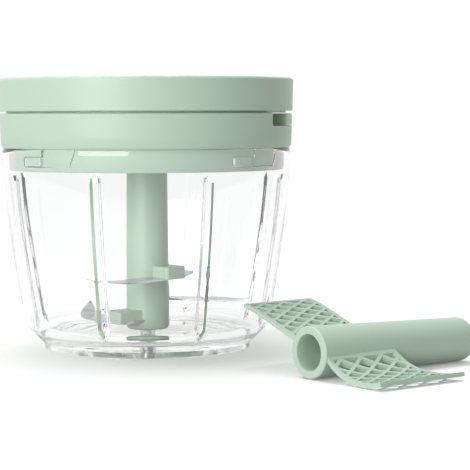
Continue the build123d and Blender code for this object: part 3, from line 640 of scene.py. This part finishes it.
def raise_ribs(bm, size, stops):
    """Bends the lines along ribs and slanted channel ends, and raises the ribs."""
    bm.normal_update()
    places = [stop.angle for stop in stops]
    moved = []
    for vert in bm.verts:
        radius, angle = polar(vert.co)
        z = vert.co.z
        inside = is_inside(radius, z)
        if radius < SEAT_REACH * MM or not (inside or z > size.channel_low):
            continue
        angle = places[0] + (angle - places[0] + SPECK) % math.tau
        index = min(bisect.bisect_right(places, angle) - 1, len(stops) - 2)
        here, there = stops[index], stops[index + 1]
        share = (angle - here.angle) / max(there.angle - here.angle, SPECK)
        low = stop_place(size, here, radius, z, inside)
        high = stop_place(size, there, radius, z, inside)
        goal = low + (high - low) * share
        depth = 0.0
        if inside:
            rise = {("crest", "plain"): 1.0, ("plain", "crest"): 1.0,
                    ("root", "crest"): share, ("crest", "root"): 1.0 - share}
            depth = rise.get((here.kind, there.kind), 0.0) * rib_section(size, z)[2]
        is_inward = vert.normal.dot(vert.co) < vert.normal.z * z
        inwards = vert.normal if is_inward else -vert.normal
        moved.append((vert, radius, goal, z, inwards * depth))
    for vert, radius, goal, z, lift in moved:
        turn = goal - math.atan2(vert.co.y, vert.co.x)
        vert.co = Vector((radius * math.cos(goal), radius * math.sin(goal), z))
        vert.co += Matrix.Rotation(turn, 3, "Z") @ lift
    bmesh.ops.remove_doubles(bm, verts=bm.verts, dist=MERGE)


def channel_parts(size, point):
    """Whether a point lies in a channel's open part, and whether under its roof."""
    turn = (polar(point)[1] - size.channel_from) % (math.tau / size.channel_count)
    rise = max(0.0, (point.z - size.channel_low) / (RIM_Z * MM - size.channel_low))
    far = size.channel_span - size.channel_lead * (1 - rise)
    return size.channel_roof < turn < far, turn < size.channel_roof


def is_over_channel(face, size):
    """Whether a face of the rim's top closes a channel's open part."""
    centre = face.calc_center_median()
    is_top = centre.z > RIM_Z * MM - MARGIN
    is_near = RIM_FLAT * MM < polar(centre)[0] < size.channel_radius - MARGIN
    return is_top and is_near and channel_parts(size, centre)[0]


def is_in_channel(face, size):
    """Whether a face of the inner wall has to sink to a channel's bottom."""
    centre = face.calc_center_median()
    low, high = CHANNEL_WALL
    if centre.z < size.channel_low or not low * MM <= polar(centre)[0] <= high * MM:
        return False
    is_open, is_roofed = channel_parts(size, centre)
    return is_open or (is_roofed and centre.z < size.channel_high)


def open_tops(bm, size):
    """Takes away the faces that close the channels at the rim's top."""
    tops = [face for face in bm.faces if is_over_channel(face, size)]
    bmesh.ops.delete(bm, geom=tops, context="FACES_ONLY")


def sink_channels(bm, size):
    """Sinks the bayonet channels into the inner side of the rim."""
    open_tops(bm, size)
    faces = [face for face in bm.faces if is_in_channel(face, size)]
    grown = bmesh.ops.extrude_face_region(bm, geom=faces)
    bmesh.ops.delete(bm, geom=faces, context="FACES_ONLY")
    for vert in (part for part in grown["geom"] if isinstance(part, bmesh.types.BMVert)):
        radius = polar(vert.co)[0]
        vert.co.x *= size.channel_radius / radius
        vert.co.y *= size.channel_radius / radius
    open_tops(bm, size)
    bmesh.ops.remove_doubles(bm, verts=bm.verts, dist=MERGE)
    bm.normal_update()
    rims = [edge for edge in bm.edges if is_channel_rim(edge, size)]
    bmesh.ops.bevel(bm, geom=rims, offset=size.channel_edge, offset_type="OFFSET",
                    segments=2, profile=0.5, affect="EDGES", clamp_overlap=True,
                    material=-1)


def is_channel_rim(edge, size):
    """Whether an edge lies where the bowl's inner side turns into a channel."""
    if len(edge.link_faces) != 2 or edge.calc_face_angle(0.0) < CHANNEL_CREASE:
        return False
    low, high = CHANNEL_WALL
    return all(low * MM < polar(vert.co)[0] < high * MM
               and size.channel_low - MARGIN < vert.co.z < (RIM_Z - RIM_DEPTH) * MM
               for vert in edge.verts)


def is_rib_end(edge, size):
    """Whether an edge belongs to the bevelled head or the pointed foot of a rib."""
    low, high = sorted(vert.co.z for vert in edge.verts)
    ends = ((size.rib_high - size.rib_slope, size.rib_high),
            (size.rib_low, size.rib_low + size.rib_point))
    if not any(low > bottom - MARGIN and high < top + MARGIN for bottom, top in ends):
        return False
    return is_inside(max(polar(vert.co)[0] for vert in edge.verts), low)


def clear_bowl(size, material):
    """The bowl with its ribs and bayonet channels, made as one sector and repeated."""
    stops = bowl_stops(size)
    bm = spun_bowl(size, stops)
    raise_ribs(bm, size, stops)
    bm.normal_update()
    sink_channels(bm, size)
    sectors = bowl_sectors(size)
    bmesh.ops.spin(bm, geom=bm.verts[:] + bm.edges[:] + bm.faces[:], cent=(0, 0, 0),
                   axis=(0, 0, 1), angle=math.tau * (sectors - 1) / sectors,
                   steps=sectors - 1, use_duplicate=True)
    bmesh.ops.remove_doubles(bm, verts=bm.verts, dist=MERGE)
    bmesh.ops.dissolve_degenerate(bm, edges=bm.edges, dist=SPECK)
    loose = [edge for edge in bm.edges if not edge.link_faces]
    bmesh.ops.delete(bm, geom=loose, context="EDGES")
    bmesh.ops.recalc_face_normals(bm, faces=bm.faces)
    for face in bm.faces:
        face.smooth = True
    for edge in bm.edges:
        crease = RIB_END_CREASE if is_rib_end(edge, size) else BOWL_CREASE
        edge.smooth = is_smooth(edge, crease)
    open_edges = sum(1 for edge in bm.edges if len(edge.link_faces) != 2)
    if open_edges:
        raise RuntimeError(f"the bowl has {open_edges} open edges")
    piece = new_object("clear_bowl", new_mesh("clear_bowl", bm), material)
    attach(piece, NODE_BODY["bowl"])
    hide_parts("bowl")


# ---- operators for the pieces ---------------------------------------------------------
class CHOPPER_OT_mouldings(bpy.types.Operator):
    """Finish the mint mouldings: lid, handle, column and whisk"""
    bl_idname = "chopper.mouldings"
    bl_label = "Mint mouldings"

    def execute(self, context):
        colours, sizes = context.scene.chopper_colours, context.scene.chopper_sizes
        mint = satin_plastic("mint_satin", colours.mint, sizes.grain)
        for node in MINT_NODES:
            finished_copy(node, mint)
        return {"FINISHED"}


class CHOPPER_OT_bowl(bpy.types.Operator):
    """Finish the clear bowl and the seal on its rim"""
    bl_idname = "chopper.bowl"
    bl_label = "Clear bowl"

    def execute(self, context):
        colours = context.scene.chopper_colours
        clear = clear_plastic("clear_polished", colours.clear)
        clear_bowl(context.scene.chopper_bowl, clear)
        finished_copy("lid_seal", silicone_rubber("seal_silicone", colours.seal))
        return {"FINISHED"}


class CHOPPER_OT_steel(bpy.types.Operator):
    """Finish the blades, the spindle pin, the spring and the screws"""
    bl_idname = "chopper.steel"
    bl_label = "Steel parts"

    def execute(self, context):
        colours = context.scene.chopper_colours
        blade = brushed_steel("blade_steel", colours.steel)
        for node in BLADE_NODES:
            finished_copy(node, blade)
        pin = brushed_steel("pin_steel", colours.steel, streak=(40.0, 40.0, 2000.0))
        finished_copy("spindle_pin", pin)
        zinc = brushed_steel("screw_zinc", colours.steel, streak=(300.0, 300.0, 300.0),
                             roughness=0.35)
        paint(SCREW_NODES, zinc)
        paint(("recoil_spring",), brushed_steel("spring_blued", colours.spring))
        return {"FINISHED"}


class CHOPPER_OT_mechanism(bpy.types.Operator):
    """Finish the reel, its plate, the drive socket and the bearings"""
    bl_idname = "chopper.mechanism"
    bl_label = "Reel and drive"

    def execute(self, context):
        colours = context.scene.chopper_colours
        grain = context.scene.chopper_sizes.grain
        natural = satin_plastic("acetal_natural", colours.reel, grain, 0.4)
        polished = satin_plastic("acetal_polished", colours.bearing, grain, 0.22)
        for node in REEL_NODES:
            finished_copy(node, natural)
        for node in BEARING_NODES:
            finished_copy(node, polished)
        return {"FINISHED"}


class CHOPPER_OT_cord(bpy.types.Operator):
    """Make the pull cord between the guide and the handle"""
    bl_idname = "chopper.cord"
    bl_label = "Pull cord"

    def execute(self, context):
        sizes = context.scene.chopper_sizes
        braid = braided_cord("cord_braid", context.scene.chopper_colours.cord,
                             sizes.cord_diameter)
        paint(CORD_NODES, braid)
        low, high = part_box("cord_stub")
        middle = (low + high) / 2
        start = Vector((low.x, middle.y, middle.z))
        end = Vector((high.x, middle.y, middle.z))
        cord = stretched_cord("pull_cord", start, end, sizes.cord_diameter,
                              sizes.cord_rings, braid)
        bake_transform(cord)
        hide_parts("cord_stub")
        return {"FINISHED"}


# ---- stage ----------------------------------------------------------------------------
def seen_directly(tree):
    """1 for rays from the camera, from a mirror or through the clear bowl, else 0."""
    path = tree.nodes.new("ShaderNodeLightPath")
    total = path.outputs["Is Camera Ray"]
    for output in ("Is Glossy Ray", "Is Transmission Ray"):
        most = tree.nodes.new("ShaderNodeMath")
        most.operation = "MAXIMUM"
        tree.links.new(total, most.inputs[0])
        tree.links.new(path.outputs[output], most.inputs[1])
        total = most.outputs["Value"]
    return total


def white_floor(name, stage):
    """A pale floor that keeps shadows by the object and fades to plain white beyond."""
    graph = Graph(name)
    seen = seen_directly(graph.tree)
    graph.set(Roughness=0.9, Specular_IOR_Level=0.0)
    graph.link(graph.spread(seen, low=stage.floor_shade, high=FLOOR_WHITE),
               graph.shader.inputs["Base Color"])
    lifted = graph.add("ShaderNodeEmission")
    graph.link(graph.spread(seen, low=0.0, high=stage.floor_lift),
               lifted.inputs["Strength"])
    lit = graph.add("ShaderNodeAddShader")
    graph.link(graph.shader.outputs["BSDF"], lit.inputs[0])
    graph.link(lifted.outputs["Emission"], lit.inputs[1])
    distance = graph.add("ShaderNodeVectorMath", operation="LENGTH")
    graph.link(graph.place(), distance.inputs[0])
    fade = graph.add("ShaderNodeMapRange", interpolation_type="SMOOTHSTEP")
    fade.inputs["From Min"].default_value = stage.fade_from
    fade.inputs["From Max"].default_value = stage.fade_to
    graph.link(distance.outputs["Value"], fade.inputs["Value"])
    share = graph.reckon("MULTIPLY", fade.outputs["Result"], seen)
    plain = graph.add("ShaderNodeEmission")
    graph.surface(share, lit.outputs["Shader"], plain.outputs["Emission"])
    return graph.material


def white_world(ambient):
    """Even light all round, seen as plain white."""
    world = bpy.data.worlds.new("studio")
    world.use_nodes = True
    tree = world.node_tree
    light = tree.nodes["Background"]
    white = tree.nodes.new("ShaderNodeBackground")
    for background, strength in ((light, ambient), (white, 1.0)):
        background.inputs["Color"].default_value = (1.0, 1.0, 1.0, 1.0)
        background.inputs["Strength"].default_value = strength
    mix = tree.nodes.new("ShaderNodeMixShader")
    tree.links.new(seen_directly(tree), mix.inputs["Fac"])
    tree.links.new(light.outputs["Background"], mix.inputs[1])
    tree.links.new(white.outputs["Background"], mix.inputs[2])
    tree.links.new(mix.outputs["Shader"], tree.nodes["World Output"].inputs["Surface"])
    bpy.context.scene.world = world


def area_light(name, place, size, power):
    """A soft rectangular light that faces the object."""
    data = bpy.data.lights.new(name, "AREA")
    data.shape = "RECTANGLE"
    data.size, data.size_y = size
    data.energy = power
    lamp = bpy.data.objects.new(name, data)
    lamp.location = place
    aim = Vector(LIGHT_TARGET) - Vector(place)
    lamp.rotation_euler = aim.to_track_quat("-Z", "Y").to_euler()
    bpy.context.scene.collection.objects.link(lamp)


def studio_camera(stage):
    """The camera, turned by its pitch and roll."""
    data = bpy.data.cameras.new("camera")
    data.sensor_width = 36.0
    data.lens = data.sensor_width * stage.focal_pixels / PIXELS
    data.clip_start = 0.01
    data.clip_end = 20.0
    camera = bpy.data.objects.new("camera", data)
    look = Matrix.Rotation(math.radians(90) - stage.camera_pitch, 4, "X")
    lean = Matrix.Rotation(-stage.camera_roll, 4, "Z")
    camera.matrix_world = Matrix.Translation(stage.camera_place) @ look @ lean
    bpy.context.scene.collection.objects.link(camera)
    bpy.context.scene.camera = camera


class CHOPPER_OT_stage(bpy.types.Operator):
    """Set the floor, world, lights and camera"""
    bl_idname = "chopper.stage"
    bl_label = "Stage"

    def execute(self, context):
        stage = context.scene.chopper_stage
        bm = bmesh.new()
        bmesh.ops.create_grid(bm, x_segments=1, y_segments=1, size=FLOOR_HALF)
        white = white_floor("floor_white", stage)
        floor = new_object("floor", new_mesh("floor", bm), white)
        floor.location.z = -FLOOR_DROP
        white_world(stage.ambient)
        area_light("key", KEY_PLACE, KEY_SIZE, stage.key_power)
        area_light("top", TOP_PLACE, TOP_SIZE, stage.top_power)
        cycles = context.scene.cycles
        cycles.max_bounces = 24
        cycles.glossy_bounces = 16
        cycles.transmission_bounces = 24
        studio_camera(stage)
        context.scene.view_settings.view_transform = "Standard"
        return {"FINISHED"}


# ---- panel and registration -----------------------------------------------------------
class CHOPPER_PT_panel(bpy.types.Panel):
    """Lists the chopper's settings and a button for each group of pieces"""
    bl_idname = "CHOPPER_PT_panel"
    bl_label = "Chopper"
    bl_space_type = "VIEW_3D"
    bl_region_type = "UI"
    bl_category = "Chopper"

    def draw(self, context):
        scene = context.scene
        for group in (scene.chopper_colours, scene.chopper_sizes, scene.chopper_bowl,
                      scene.chopper_stage):
            box = self.layout.box()
            for key in group.__annotations__:
                box.prop(group, key)
        for operator in OPERATORS:
            self.layout.operator(operator.bl_idname)


GROUPS = {"chopper_colours": ChopperColours, "chopper_sizes": ChopperSizes,
          "chopper_bowl": ChopperBowl, "chopper_stage": ChopperStage}
OPERATORS = (CHOPPER_OT_mouldings, CHOPPER_OT_bowl, CHOPPER_OT_steel,
             CHOPPER_OT_mechanism, CHOPPER_OT_cord, CHOPPER_OT_stage)


def register():
    for key, group in GROUPS.items():
        bpy.utils.register_class(group)
        setattr(bpy.types.Scene, key, PointerProperty(type=group))
    for cls in (*OPERATORS, CHOPPER_PT_panel):
        bpy.utils.register_class(cls)


def unregister():
    for cls in (CHOPPER_PT_panel, *reversed(OPERATORS)):
        bpy.utils.unregister_class(cls)
    for key, group in reversed(list(GROUPS.items())):
        delattr(bpy.types.Scene, key)
        bpy.utils.unregister_class(group)


def main():
    register()
    bpy.ops.chopper.mouldings()
    bpy.ops.chopper.bowl()
    bpy.ops.chopper.steel()
    bpy.ops.chopper.mechanism()
    bpy.ops.chopper.cord()
    bpy.ops.chopper.stage()


if __name__ == "__main__":
    main()
